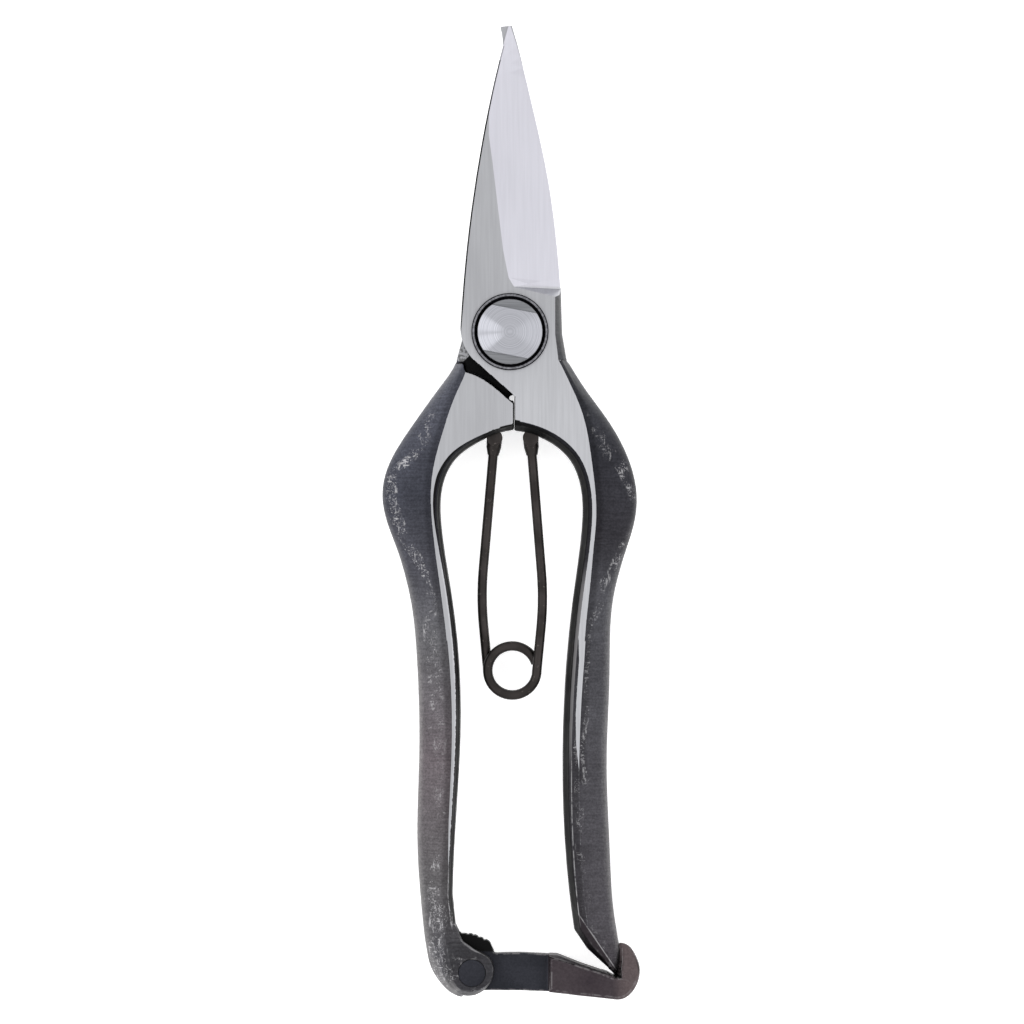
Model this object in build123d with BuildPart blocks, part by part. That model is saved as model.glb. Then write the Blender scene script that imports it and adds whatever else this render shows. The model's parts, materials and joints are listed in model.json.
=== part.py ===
"""Floral snips: two forged halves on a flanged bolt, a coiled wire spring and a swinging latch.

Frame, in millimetres: the snips lie flat and shut. +Y runs to the blade tips, +Z out of the front
face, and the origin is on the pivot axis, in the plane of the nut's underside.
"""
from build123d import *
import math
import os

os.makedirs("parts", exist_ok=True)

# ---- driving dimensions -------------------------------------------------------------------------
nut_height = 2.0            # pivot nut, the lowest piece
washer_height = 0.7
washer_radius = 6.6
plate = 4.5                 # thickness of one half where the halves lap
rear = nut_height + washer_height
lap = rear + plate          # plane between the halves
front = lap + plate         # ground front faces
lap_gap = 0.04              # each lapping face stands this far off the lap plane

bolt_radius = 3.5
bolt_bore_radius = 3.55
head_radius = 6.05
head_flat = 4.3             # centre to wrench flat
head_flat_tilt = -11
head_flat_depth = 0.45
nut_across_flats = 10.0
ring_radius = 7.25
ring_base = 0.4             # the collar's floor under the bolt head
ring_height = 1.1
ring_chamfer = 0.2
ring_dish = 0.66            # the collar slopes in to the bolt head over this width
ring_clearance = 0.08
head_top = front + 1.35

seam_x = 0.75               # joint line between the shoulders, at the arch
seam_gap = 0.08
relief = (0.35, -12.35)      # small hole where the channel meets the seam
relief_radius = 0.5
tail_y = -120.9             # where the handle sections stop
blade_start_y = -5.3        # above it a half is plain plate, below it the handle takes over
blade_tip_y = 57.9
edge_thickness = 0.3        # what the bevel leaves at the cutting edge
flank_middle = 0.62         # how far out across a forged flank its guide point is
flank_drop = 0.30           # and how far it has fallen there, as a share of the half thickness
crease_fall = 0.2           # slope with which the flank leaves the ground flat
thinning_start_y = 5        # towards its tip a blade thins, gently at first
thinning_ease = 18          # length over which the thinning sets in
thinning_slope = 0.058

wire_radius = 0.9
coil_centre = (0.43, -63.8)
coil_radius = 4.63          # to the wire's centre
coil_pitch = 2.1
coil_break = 17             # degrees left open between the two ends of the wire
seat_y = -19.9
right_seat_x = 3.9
left_seat_x = -2.9
ferrule_radius = 1.5
ferrule_height = 3.4
ferrule_length = 3.3
ferrule_mouth = 1.05
wire_spare = 1.2            # the wire stops this far inside its seat's axis
seat_clearance = 0.05

rivet = (-7.16, -120.6)
rivet_radius = 1.6
rivet_face_radius = 2.5
rivet_face_depth = 1.0
tang_thickness = 3.2
slot_thickness = 3.5
slot_swing = 60             # the latch swings this far down out of the fork
slot_arm = 3.75             # half the width kept clear along the latch's bar
slot_reach = 14
lobe_half = 5.0             # half the thickness of the fork at the left handle's end
lobe_top_half = 4.2         # and where it comes out of the handle
lobe_levels = [(0.8, 0.0), (3.2, 0.42), (lobe_half, 1.0)]   # height, share of the way to the cheek's outline
hook_half = 4.3             # half the thickness of the latch's hook
hook_bevel = 0.5


# ---- shapes of the two halves, each as if it lay on the right, X outwards ------------------------
# Blade seen from its own face: the spine is on the far side of the pivot from the handle.
front_spine = [(-0.25, 57.9), (-2.5, 49.2), (-5.84, 32.4), (-7.7, 19.5), (-9.04, 5.3), (-9.32, 0.7)]
front_edge = [(9.5, 8.4), (8.75, 17), (7.3, 28), (4, 43.6), (1.55, 53.3), (0.12, 57.7)]
back_spine = [(-0.35, 57.9), (-1.7, 53.3), (-5.0, 36.5), (-7.16, 23.4), (-9.0, 8.0), (-9.5, 0.7)]
back_edge = [(8.45, 8.4), (8.1, 13), (6.55, 24), (3.55, 43), (1.3, 54), (1.85, 57.7)]

# The bevel's ridge line on the blade's face, (y, x), and the slanted facet that ends the bevel.
ridge_line = [(5.0, 2.4), (8.47, 0.75), (10.2, -0.26), (15.25, -1.28), (22.0, -2.1), (32.0, -3.3),
              (37.1, -4.0), (48.0, -4.0), (58.5, -2.2)]
heel = (8.5, 6.6)           # the facet's lower corner, at the edge of the neck
heel_run = 1.8              # the facet reaches the cutting edge this much nearer the tip

# Neck between the blade's heel and the handle: (y, crease, outside), a forged flank like the handle's.
front_neck = [(8.4, 9.5, 9.6), (6.5, 8.5, 9.65), (-0.4, 8.5, 9.85), (blade_start_y, 9.1, 10.7)]
back_neck = [(8.4, 8.45, 8.6), (6.5, 8.2, 8.6), (-0.4, 8.0, 8.75), (blade_start_y, 8.5, 10.1)]

# Lower edge of the pivot disc, from the spine round to the seam.
disc_arc = [(-8.45, -3.0), (-6.2, -5.85)]
disc_foot = (0.35, -11.65)

# The shoulder that faces the disc across the clearance channel, from its outer corner to the seam.
shoulder_corner = (8.85, -5.85)
shoulder_knee = (8.4, -7.6)
shoulder_curve = [(6.5, -8.17), (2.9, -10.45), (-0.3, -13.1)]

# Handle outline: (y, crease, outside, half thickness). The crease ends the ground flat, and from
# there the forged flank falls to the outside edge, which is in the lap plane.
right_handle = [
    (blade_start_y, 9.1, 10.7, 4.5), (-8.25, 10.6, 12.6, 4.5), (-13.3, 12.9, 16.1, 4.5),
    (-20.6, 14.85, 20.9, 4.5), (-25.5, 15.55, 22.95, 4.5), (-31.1, 16.15, 23.95, 4.5),
    (-37.0, 16.1, 23.2, 4.5), (-44.9, 15.35, 20.75, 4.5), (-52.0, 14.6, 19.25, 4.5),
    (-62.0, 13.75, 18.85, 4.5), (-75.0, 13.15, 18.42, 4.46), (-88.0, 13.15, 18.42, 4.38),
    (-100.0, 13.7, 18.95, 4.26), (-111.0, 14.7, 19.85, 4.13), (tail_y, 15.9, 20.5, 4.0),
]
left_handle = [
    (blade_start_y, 8.5, 10.1, 4.5), (-8.0, 8.5, 11.5, 4.5), (-13.0, 10.7, 15.2, 4.5),
    (-20.0, 13.0, 20.1, 4.5), (-25.0, 14.3, 22.9, 4.5), (-30.8, 14.9, 24.1, 4.5),
    (-37.0, 14.55, 22.8, 4.5), (-45.0, 13.55, 20.05, 4.5), (-52.0, 12.6, 18.5, 4.5),
    (-62.0, 11.5, 17.55, 4.5), (-75.0, 10.95, 17.12, 4.5), (-88.0, 11.15, 17.4, 4.45),
    (-100.0, 11.6, 17.35, 4.4), (-110.0, 11.6, 16.55, 4.5), (-118.0, 11.0, 15.35, 4.75),
]

# Inside of each handle, from the seam round the arch and down to the tail.
right_inside = [
    (-1.2, -18.3), (2.2, -18.75), (7.5, -20.75), (11.3, -24.1), (13.4, -29.6), (13.5, -37.5),
    (11.95, -49.5), (10.5, -64.0), (9.9, -80.0), (10.4, -97.0), (12.1, -112.6),
]
left_inside = [
    (-1.2, -18.3), (1.6, -18.9), (6.4, -21.0), (10.4, -24.1), (12.75, -29.2), (13.0, -35.5),
    (11.3, -47.5), (9.75, -60.0), (9.3, -75.0), (10.1, -90.5), (10.8, -106.0),
]
right_tail = [(14.6, -116.3), (19.35, -120.65)]
left_tail = [(10.15, -111.8), (8.6, -115.1)]

# Facets along the inside, (depth below the face, distance out from the wall).
right_chamfers = [(2.3, 0.0), (0.5, 1.05), (0.0, 1.8)]
left_chamfers = [(1.6, 0.0), (0.0, 0.9)]

# Fork at the left handle's end, in place: its silhouette, and the outline of its flat cheeks.
lobe_outside = [(-16.1, -111.5), (-15.7, -116.5), (-14.85, -119.9), (-12.6, -123.3), (-9.6, -125.3)]
lobe_inside = [(-9.6, -125.3), (-6.6, -125.3), (-3.9, -123.4), (-2.75, -120.6), (-3.7, -117.7),
               (-6.6, -116.0), (-8.8, -114.6)]
cheek_outside = [(-11.6, -111.5), (-11.6, -116.3), (-11.2, -119.2), (-10.4, -121.8), (-8.9, -123.7)]
cheek_inside = [(-8.9, -123.7), (-6.6, -123.9), (-4.3, -122.8), (-3.1, -120.6), (-3.95, -118.0),
                (-6.6, -116.3), (-8.9, -114.7)]
lobe_top = (-10.3, -111.5)
lobe_bottom_tangent = (1, -0.3)
lobe_full_y = -117.8        # from here down the fork has its full thickness

# Latch: the bar and the thumb tab lie in the fork, the hook is as thick as the handle it holds.
bar_outline = [(rivet[0], -117.1), (1.9, -116.9), (7.6, -117.15), (7.6, -124.3), (1.9, -124.1),
               (rivet[0], -124.1)]
tab_outline = [(-9.9, -118.5), (-9.75, -112.9), (-8.66, -113.3), (-7.08, -113.35), (-4.5, -114.4),
               (-3.8, -114.85), (-3.0, -116.6), (-3.0, -118.5)]
tab_grooves = [(-9.0, -113.1), (-7.9, -113.25), (-6.8, -113.4), (-5.75, -113.85), (-4.75, -114.3)]
tab_groove_radius = 0.28
hook_inside = [(7.3, -117.15), (9.0, -117.25), (13.6, -119.05), (18.3, -120.65), (19.9, -121.5),
               (20.65, -121.25), (21.1, -118.6), (21.05, -115.9), (20.8, -115.2)]
hook_outside = [(20.8, -115.2), (22.1, -115.5), (23.6, -117.3), (24.5, -120.1), (23.7, -123.3),
                (21.9, -125.3), (19.4, -125.65)]
hook_bottom = [(12.8, -124.95), (7.3, -124.3)]


# ---- helpers -------------------------------------------------------------------------------------
def placed(points, side):
    """Turn outline points over to the left for the back half."""
    return [(side * x, y) for x, y in points]


def sideways(points, distance):
    """Move the points of a run outwards, square to the run."""
    moved = []
    for i, (x, y) in enumerate(points):
        before = points[max(i - 1, 0)]
        after = points[min(i + 1, len(points) - 1)]
        run = math.hypot(after[0] - before[0], after[1] - before[1])
        moved.append((x - distance * (after[1] - before[1]) / run,
                      y + distance * (after[0] - before[0]) / run))
    return moved


def handle_envelope(stations, side):
    """The whole handle and shoulder, as if the space between the handles were filled."""
    with BuildPart() as envelope:
        for y, crease, outside, half in stations:
            bulge = crease + flank_middle * (outside - crease)
            flank = [(crease, half), (bulge, half * (1 - flank_drop)), (outside, 0),
                     (bulge, -half * (1 - flank_drop)), (crease, -half)]
            with BuildSketch(Plane(origin=(0, y, lap), x_dir=(1, 0, 0), z_dir=(0, -1, 0))):
                with BuildLine():
                    Spline(*placed(flank, side), tangents=[(side, -crease_fall), (-side, -crease_fall)])
                    Polyline((side * crease, -half), (-side * 12, -half), (-side * 12, half),
                             (side * crease, half))
                make_face()
        loft()
    return envelope.part


def opening(inside, tail, side, chamfers):
    """The space between the handles that one handle borders, flared at both faces."""
    flare = 0.3                 # the last facet runs on this far beyond the face
    levels = [(0, 0.0)] + [(plate - depth, width) for depth, width in chamfers]
    (low, narrow), (high, wide) = levels[-2:]
    levels[-1] = (high + flare, wide + flare * (wide - narrow) / (high - low))
    with BuildPart() as space:
        for up in (1, -1):
            for pair in zip(levels, levels[1:]):
                for level, grown in pair:
                    run = placed(sideways(inside, grown), side)
                    end = placed(sideways(tail, grown), side)
                    with BuildSketch(Plane.XY.offset(lap + up * level)):
                        with BuildLine():
                            Spline(*run)
                            Polyline(run[-1], *end, (end[-1][0], tail_y - 6), (-side * 6, tail_y - 6),
                                     (-side * 6, run[0][1]), run[0])
                        make_face()
                loft(ruled=True)
    return space.part


def bevel(edge, side):
    """The wedge ground off a blade's face, from the ridge line down to the cutting edge."""
    with BuildPart() as wedge:
        for y, ridge in ridge_line:
            top = plate - thinning(y)
            reach = width_at(edge, y)
            slope = (top - edge_thickness) / (reach - ridge)
            far = reach + 4
            corners = [(ridge, top), (far, top - slope * (far - ridge)), (far, plate + 2), (ridge, plate + 2)]
            with BuildSketch(Plane(origin=(0, y, lap), x_dir=(1, 0, 0), z_dir=(0, -1, 0))):
                with BuildLine():
                    Polyline(*[(side * x, side * z) for x, z in corners], close=True)
                make_face()
        loft(ruled=True)
        start = Vector(side * ridge_line[1][1], ridge_line[1][0], lap + side * plate)
        along = Vector(side * heel[0], heel[1], lap + side * plate) - start
        down = Vector(side * heel[0], heel[1] + heel_run, lap + side * edge_thickness) - start
        split(bisect_by=Plane(origin=start, z_dir=down.cross(along) * -1), keep=Keep.TOP)
    return wedge.part


def neck_flank(stations, side):
    """What falls away outside the neck's forged flank."""
    with BuildPart() as space:
        for y, crease, outside in stations:
            bulge = crease + flank_middle * (outside - crease)
            corners = [(crease, plate + 1), (crease, plate), (bulge, plate * (1 - flank_drop)),
                       (outside, 0), (outside + 3, 0), (outside + 3, plate + 1)]
            with BuildSketch(Plane(origin=(0, y, lap), x_dir=(1, 0, 0), z_dir=(0, -1, 0))):
                with BuildLine():
                    Polyline(*[(side * x, side * z) for x, z in corners], close=True)
                make_face()
        loft(ruled=True)
    return space.part


def thinning(y):
    """How much thinner than the plate a blade is at y."""
    run = max(y - thinning_start_y, 0)
    eased = min(run, thinning_ease)
    return thinning_slope * (eased ** 2 / (2 * thinning_ease) + run - eased)


def width_at(run, y):
    """The outline's X at y, straight between its points."""
    for (x0, y0), (x1, y1) in zip(run, run[1:]):
        if min(y0, y1) <= y <= max(y0, y1):
            return x0 + (x1 - x0) * (y - y0) / (y1 - y0)
    return run[0][0] if y < run[0][1] else run[-1][0]


def forging(side, seam, seat_x, spine, edge, neck, stations, inside, tail, chamfers):
    """One half of the snips. Its blade lies on the side of the lap plane that side names."""
    envelope = handle_envelope(stations, side)
    space = opening(inside, tail, side, chamfers)
    wedge = bevel(edge, side)
    flank = neck_flank(neck, side)
    beyond = 30                                     # outline corners hidden by the envelope
    disc_slope = (disc_foot[1] - disc_arc[1][1]) / (disc_foot[0] - disc_arc[1][0])
    disc_end = (seam, disc_arc[1][1] + disc_slope * (seam - disc_arc[1][0]))
    shoulder_slope = ((shoulder_curve[2][1] - shoulder_curve[1][1])
                      / (shoulder_curve[2][0] - shoulder_curve[1][0]))
    shoulder_end = (seam, shoulder_curve[1][1] + shoulder_slope * (seam - shoulder_curve[1][0]))
    beyond_neck = neck[-1][2] + 1

    with BuildSketch(Plane.XY.offset(lap + side * lap_gap)) as blade_layer:
        with BuildLine():
            Spline(*placed(spine, side))
            Spline(*placed([spine[-1], *disc_arc], side))
            Polyline(*placed([disc_arc[-1], disc_end, (seam, tail_y - 4), (beyond, tail_y - 4),
                              (beyond, blade_start_y), (beyond_neck, blade_start_y),
                              (beyond_neck, edge[0][1]), edge[0]], side))
            Spline(*placed(edge, side))
            Line(*placed([edge[-1], spine[0]], side))
        make_face()
    with BuildSketch(Plane.XY.offset(lap + side * lap_gap)) as shoulder_layer:
        with BuildLine():
            Spline(*placed([shoulder_knee, *shoulder_curve[:2], shoulder_end], side))
            Polyline(*placed([shoulder_end, (seam, tail_y - 4), (beyond, tail_y - 4),
                              (beyond, blade_start_y), shoulder_corner, shoulder_knee], side))
        make_face()

    with BuildPart() as handle:
        extrude(blade_layer.sketch, amount=side * 2 * plate)
        extrude(shoulder_layer.sketch, amount=-side * 2 * plate)
        add(envelope, mode=Mode.INTERSECT)
        add(space, mode=Mode.SUBTRACT)

    with BuildPart() as half:
        extrude(blade_layer.sketch, amount=side * (plate - lap_gap))
        split(bisect_by=Plane(origin=(0, blade_start_y, 0), z_dir=(0, 1, 0)), keep=Keep.TOP)
        add(wedge, mode=Mode.SUBTRACT)
        add(flank, mode=Mode.SUBTRACT)
        with BuildSketch(Plane.YZ.offset(-15)):     # what the thinning takes off the blade's face
            with BuildLine():
                ease = [(thinning_start_y + share * thinning_ease) for share in (0, 0.25, 0.5, 0.75, 1)]
                face = [(y, lap + side * (plate - thinning(y))) for y in ease]
                end_y = blade_tip_y + 2
                Spline(*face, tangents=[(1, 0), (1, -side * thinning_slope)])
                Polyline(face[-1], (end_y, lap + side * (plate - thinning(end_y))),
                         (end_y, lap + side * (plate + 1)), (ease[0], lap + side * (plate + 1)), face[0])
            make_face()
        extrude(amount=30, mode=Mode.SUBTRACT)
        add(handle.part)
        with Locations((*relief, lap)):
            Cylinder(relief_radius, 3 * plate, mode=Mode.SUBTRACT)
        with Locations((0, 0, lap)):
            Cylinder(bolt_bore_radius, 3 * plate, mode=Mode.SUBTRACT)
        with Locations((seat_x, seat_y, lap)):
            Cylinder(ferrule_radius + seat_clearance, ferrule_height + 4 * seat_clearance,
                     mode=Mode.SUBTRACT)
    return half.part


# ---- the two halves -------------------------------------------------------------------------------
right_forging = forging(1, seam_x + seam_gap, right_seat_x, front_spine, front_edge, front_neck,
                        right_handle, right_inside, right_tail, right_chamfers)
with BuildPart() as front_half:
    add(right_forging)
front_half.part.label = "front_half"
export_step(front_half.part, "parts/front_half.step")

left_forging = forging(-1, -seam_x + seam_gap, left_seat_x, back_spine, back_edge, back_neck,
                       left_handle, left_inside, left_tail, left_chamfers)


def slot_corner(along, across, angle):
    """A point of the fork's slot: along and across the bar when it stands at angle."""
    turn = math.radians(angle)
    return (rivet[0] + along * math.cos(turn) - across * math.sin(turn),
            rivet[1] + along * math.sin(turn) + across * math.cos(turn))


def between(near, far, share):
    """Points the given share of the way from one run to another."""
    return [(x0 + share * (x1 - x0), y0 + share * (y1 - y0)) for (x0, y0), (x1, y1) in zip(near, far)]


def fork_block():
    """The rounded block at the left handle's end, before its slot, rising out of the handle."""
    lower = [(-height, share) for height, share in reversed(lobe_levels)]
    levels = lower + lobe_levels
    with BuildPart() as block:
        for pair in zip(levels, levels[1:]):
            for level, share in pair:
                outside = between(lobe_outside, cheek_outside, share)
                inside = between(lobe_inside, cheek_inside, share)
                with BuildSketch(Plane.XY.offset(lap + level)):
                    with BuildLine():
                        Spline(*outside, tangents=[(0.1, -1), lobe_bottom_tangent])
                        Spline(*inside, tangents=[lobe_bottom_tangent, (-1, 0.6)])
                        Polyline(inside[-1], lobe_top, outside[0])
                    make_face()
            loft(ruled=True)
        for up in (1, -1):
            slope_start = (lobe_top[1] + 1, lap + up * lobe_top_half)
            with BuildSketch(Plane.YZ.offset(-20)):
                with BuildLine():
                    Polyline(slope_start, (lobe_full_y, lap + up * lobe_half),
                             (lobe_full_y, lap + up * (lobe_half + 1)),
                             (slope_start[0], lap + up * (lobe_half + 1)), close=True)
                make_face()
            extrude(amount=20, mode=Mode.SUBTRACT)
    return block.part


end_block = fork_block()
with BuildPart() as back_half:
    add(left_forging)
    add(end_block)
    with BuildSketch(Plane.XY.offset(lap - slot_thickness / 2)):
        with BuildLine():
            Polyline(slot_corner(0, -slot_arm, -slot_swing),
                     slot_corner(slot_reach, -slot_arm, -slot_swing),
                     (12, rivet[1] - slot_reach), (12, rivet[1] + slot_reach),
                     slot_corner(slot_reach - 2, slot_arm, 90), slot_corner(0, slot_arm, 90), close=True)
        make_face()
        with Locations(rivet):
            Circle(slot_arm)
    extrude(amount=slot_thickness, mode=Mode.SUBTRACT)
    with Locations((*rivet, lap)):
        Cylinder(rivet_radius, 4 * plate, mode=Mode.SUBTRACT)
    for up in (1, -1):
        with Locations((*rivet, lap + up * (lobe_half - rivet_face_depth / 2))):
            Cylinder(rivet_face_radius, rivet_face_depth, mode=Mode.SUBTRACT)
back_half.part.label = "back_half"
export_step(back_half.part, "parts/back_half.step")

# ---- pivot: bolt, collar, washer and nut -----------------------------------------------------------
with BuildPart() as pivot_bolt:
    with BuildSketch(Plane.XY):
        Circle(bolt_radius)
    extrude(amount=front + ring_base)
    with BuildSketch(Plane.XY.offset(front + ring_base)):
        Circle(head_radius)
    extrude(amount=head_top - front - ring_base)
    for up in (1, -1):
        with BuildSketch(Plane.XY.offset(head_top)):
            with Locations(Location((0, 0, 0), (0, 0, head_flat_tilt))):
                with Locations((0, up * (head_flat + head_radius / 2))):
                    Rectangle(3 * head_radius, head_radius)
        extrude(amount=-head_flat_depth, mode=Mode.SUBTRACT)
    chamfer(pivot_bolt.faces().sort_by(Axis.Z)[0].edges(), 0.3)
pivot_bolt.part.label = "pivot_bolt"
export_step(pivot_bolt.part, "parts/pivot_bolt.step")

with BuildPart() as head_ring:
    with BuildSketch(Plane.XZ):
        with BuildLine():
            Polyline((bolt_bore_radius, front), (ring_radius, front),
                     (ring_radius, front + ring_height - ring_chamfer),
                     (ring_radius - ring_chamfer, front + ring_height),
                     (head_radius + ring_dish, front + ring_height),
                     (head_radius + ring_clearance, front + ring_height - ring_dish),
                     (head_radius + ring_clearance, front + ring_base),
                     (bolt_bore_radius, front + ring_base), close=True)
        make_face()
    revolve(axis=Axis.Z)
head_ring.part.label = "head_ring"
export_step(head_ring.part, "parts/head_ring.step")

with BuildPart() as pivot_washer:
    with BuildSketch(Plane.XY.offset(nut_height)):
        Circle(washer_radius)
        Circle(bolt_bore_radius, mode=Mode.SUBTRACT)
    extrude(amount=washer_height - lap_gap)
    chamfer(pivot_washer.faces().sort_by(Axis.Z)[0].outer_wire().edges(), 0.2)
pivot_washer.part.label = "pivot_washer"
export_step(pivot_washer.part, "parts/pivot_washer.step")

with BuildPart() as pivot_nut:
    with BuildSketch(Plane.XY):
        RegularPolygon(nut_across_flats / 2, 6, major_radius=False)
        Circle(bolt_radius, mode=Mode.SUBTRACT)
    extrude(amount=nut_height)
    with BuildSketch(Plane.XZ):                     # bevelled corners of the nut
        with BuildLine():
            Polyline((nut_across_flats / 2 + 0.1, 0), (nut_across_flats, 0), (nut_across_flats, nut_height),
                     close=True)
        make_face()
    revolve(axis=Axis.Z, mode=Mode.SUBTRACT)
pivot_nut.part.label = "pivot_nut"
export_step(pivot_nut.part, "parts/pivot_nut.step")

# ---- spring: one wire of a turn and a half, open at the coil, and its two end ferrules ---------------
turn_drop = coil_pitch / 360
layer_top = lap + 0.75 * coil_pitch


def spring_leg(seat_x, knee, coil_x, coil_z):
    """A leg from its seat to the coil, with one long gentle bend at the knee."""
    start = (seat_x + (knee[0] - seat_x) * 0.04, seat_y - wire_spare, lap)
    with BuildPart() as leg:
        with BuildLine() as route:
            FilletPolyline(start, knee, (coil_x, coil_centre[1], coil_z), radius=60)
        with BuildSketch(Plane(origin=route.line @ 0, z_dir=route.line % 0)):
            Circle(wire_radius)
        sweep()
        with Locations((coil_x, coil_centre[1], coil_z)):
            Sphere(wire_radius)
    return leg.part


def coil_turns(start_angle, degrees, start_z):
    """Part of the coil, climbing anticlockwise from start_angle."""
    with BuildPart() as turns:
        with BuildLine() as route:
            Helix(pitch=coil_pitch, height=turn_drop * degrees, radius=coil_radius)
        with BuildSketch(Plane(origin=route.line @ 0, z_dir=route.line % 0)):
            Circle(wire_radius)
        sweep(is_frenet=True)
    return turns.part.rotate(Axis.Z, start_angle).moved(Location((*coil_centre, start_z)))


def ferrule(seat_x, knee):
    """A round end that turns in its seat, drawn down to the wire."""
    way = Vector(knee[0] - seat_x, knee[1] - seat_y, 0).normalized()
    with BuildPart() as end:
        with Locations((seat_x, seat_y, lap)):
            Cylinder(ferrule_radius, ferrule_height)
        for distance, radius in ((0, ferrule_radius - 0.03), (0.55 * ferrule_length, ferrule_radius - 0.1),
                                 (ferrule_length, ferrule_mouth)):
            with BuildSketch(Plane(origin=Vector(seat_x, seat_y, lap) + way * distance, z_dir=way)):
                Circle(radius)
        loft(ruled=True)
    return end.part


right_knee = (6.35, -50.5, lap + 1.1)
left_knee = (-5.5, -50.0, lap - 1.1)
right_leg = spring_leg(right_seat_x, right_knee, coil_centre[0] + coil_radius, layer_top)
right_turns = coil_turns(coil_break, 360 - coil_break, layer_top - turn_drop * (360 - coil_break))
left_leg = spring_leg(left_seat_x, left_knee, coil_centre[0] - coil_radius, layer_top - 1.5 * coil_pitch)
left_turns = coil_turns(180, 180, layer_top - 1.5 * coil_pitch)
right_end = ferrule(right_seat_x, right_knee)
left_end = ferrule(left_seat_x, left_knee)

with BuildPart() as spring_ferrule_right:
    add(right_end)
    add(right_leg, mode=Mode.SUBTRACT)
spring_ferrule_right.part.label = "spring_ferrule_right"
export_step(spring_ferrule_right.part, "parts/spring_ferrule_right.step")

with BuildPart() as spring_ferrule_left:
    add(left_end)
    add(left_leg, mode=Mode.SUBTRACT)
spring_ferrule_left.part.label = "spring_ferrule_left"
export_step(spring_ferrule_left.part, "parts/spring_ferrule_left.step")

with BuildPart() as spring_right:
    add(right_leg)
    add(right_turns)
spring_right.part.label = "spring_right"
export_step(spring_right.part, "parts/spring_right.step")

with BuildPart() as spring_left:
    add(left_leg)
    add(left_turns)
spring_left.part.label = "spring_left"
export_step(spring_left.part, "parts/spring_left.step")

# ---- latch and its rivet ---------------------------------------------------------------------------
with BuildPart() as latch:
    with BuildSketch(Plane.XY.offset(lap - tang_thickness / 2)):
        with BuildLine():
            Polyline(*bar_outline, close=True)
        make_face()
        with BuildLine():
            Polyline(*tab_outline, close=True)
        make_face()
        with Locations(rivet):
            Circle(3.5)
        with Locations(*tab_grooves):
            Circle(tab_groove_radius, mode=Mode.SUBTRACT)
    extrude(amount=tang_thickness)
    with BuildSketch(Plane.XY.offset(lap - hook_half)) as hook:
        with BuildLine():
            Polyline(*hook_inside)
            Spline(*hook_outside)
            Polyline(hook_outside[-1], *hook_bottom, hook_inside[0])
        make_face()
    extrude(amount=2 * hook_half)
    with Locations((*rivet, lap)):
        Cylinder(rivet_radius + 0.05, 4 * plate, mode=Mode.SUBTRACT)
    faces = latch.faces().filter_by(Axis.Z).sort_by(Axis.Z)
    chamfer(faces[0].edges() + faces[-1].edges(), hook_bevel)
latch.part.label = "latch"
export_step(latch.part, "parts/latch.step")

with BuildPart() as latch_rivet:
    with Locations((*rivet, lap)):
        Cylinder(rivet_radius, 2 * lobe_half)
    for up in (1, -1):
        with Locations((*rivet, lap + up * (lobe_half - rivet_face_depth / 2))):
            Cylinder(rivet_face_radius, rivet_face_depth)
latch_rivet.part.label = "latch_rivet"
export_step(latch_rivet.part, "parts/latch_rivet.step")
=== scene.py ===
import json
import math

import bmesh
import bpy
import numpy as np
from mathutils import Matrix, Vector, noise
from mathutils.bvhtree import BVHTree
from mathutils.kdtree import KDTree


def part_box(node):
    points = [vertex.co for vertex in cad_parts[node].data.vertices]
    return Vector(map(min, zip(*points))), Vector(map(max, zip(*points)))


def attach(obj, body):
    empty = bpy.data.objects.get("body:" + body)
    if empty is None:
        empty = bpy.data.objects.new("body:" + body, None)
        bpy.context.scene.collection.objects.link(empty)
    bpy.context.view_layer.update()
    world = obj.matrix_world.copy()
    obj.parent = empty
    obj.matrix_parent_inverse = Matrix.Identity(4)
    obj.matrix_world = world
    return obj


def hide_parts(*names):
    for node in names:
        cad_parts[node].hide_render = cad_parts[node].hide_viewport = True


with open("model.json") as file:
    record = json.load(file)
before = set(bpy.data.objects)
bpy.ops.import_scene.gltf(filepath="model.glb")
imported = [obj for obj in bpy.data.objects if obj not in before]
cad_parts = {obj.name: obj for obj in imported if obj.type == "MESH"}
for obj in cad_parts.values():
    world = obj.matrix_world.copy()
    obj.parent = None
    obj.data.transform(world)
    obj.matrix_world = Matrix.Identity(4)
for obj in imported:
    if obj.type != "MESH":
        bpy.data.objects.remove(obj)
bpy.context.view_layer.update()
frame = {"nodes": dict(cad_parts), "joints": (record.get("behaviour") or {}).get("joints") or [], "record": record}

MM = 0.001
CM = 10 * MM

# Levels and places, from the frame.
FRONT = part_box("head_ring")[0].z
LAP = next(j["pos_m"][2] for j in frame["joints"] if j["name"] == "pivot")
PLATE = FRONT - LAP                 # thickness of one half
HEAD_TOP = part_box("pivot_bolt")[1].z
NECK_Y = -5.3 * MM                  # plain plate above it, forged handle below
THINNING_Y = 5.5 * MM               # the blades thin from here to their tips
HEEL_Y = 8.3 * MM                   # foot of the blade's bevel
STRIP_Y = -58 * MM                  # from here down the handles' ground strip narrows to a point
ARCH_Y = -30 * MM                   # the arch between the handles ends here
HOOK_X = 7.2 * MM                   # where the latch's bar ends and its hook begins
SOFT = 0.02 * MM                    # a painted edge fades over twice this
RIVET = Vector(next(j["pos_m"] for j in frame["joints"] if j["name"] == "latch_swing"))

# Ridges that the grinder left, seen from above, each with the ground side on its right.
TAIL_RIDGE = (Vector((13.6, -110.6)) * MM, Vector((20.2, -120.4)) * MM)
HOOK_RIDGE = (Vector((19.9, -121.4)) * MM, Vector((9.5, -118.3)) * MM)

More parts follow.
